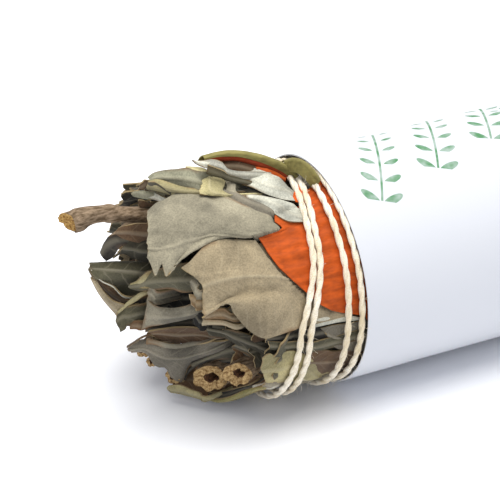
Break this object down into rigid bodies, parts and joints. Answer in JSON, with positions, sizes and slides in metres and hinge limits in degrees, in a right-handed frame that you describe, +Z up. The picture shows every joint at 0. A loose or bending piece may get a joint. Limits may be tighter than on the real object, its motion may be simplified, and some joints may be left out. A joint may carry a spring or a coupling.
{
  "type": "dried sage bundle",
  "caption": "Dried sage stems tied into a round bundle with cotton string, with orange petals tucked in and a plain paper sleeve round the middle.",
  "frame": {"origin": "middle of the bundle's lowest plane, where its sleeve lies on the table", "axes": "+X along the bundle from its cut end to its leaf tips, +Z up"},
  "size_m": [0.1588, 0.0456, 0.048],
  "materials": {
    "dried_sage": "dry matt leaf with fine down",
    "twig_bark": "rough dry bark",
    "orange_petal": "dry crinkled petal",
    "cotton_string": "unbleached two-ply cotton",
    "sleeve_paper": "smooth white paper"
  },
  "bodies": {
    "root": {"leafy_stem_1": "dried_sage", "leafy_stem_2": "dried_sage", "leafy_stem_3": "dried_sage", "leafy_stem_4": "dried_sage", "leafy_stem_5": "dried_sage", "leafy_stem_6": "dried_sage", "leafy_stem_7": "dried_sage", "side_twig": "twig_bark", "orange_petal_1": "orange_petal", "orange_petal_2": "orange_petal", "cotton_string": "cotton_string", "paper_sleeve": "sleeve_paper"}
  },
  "joints": []
}
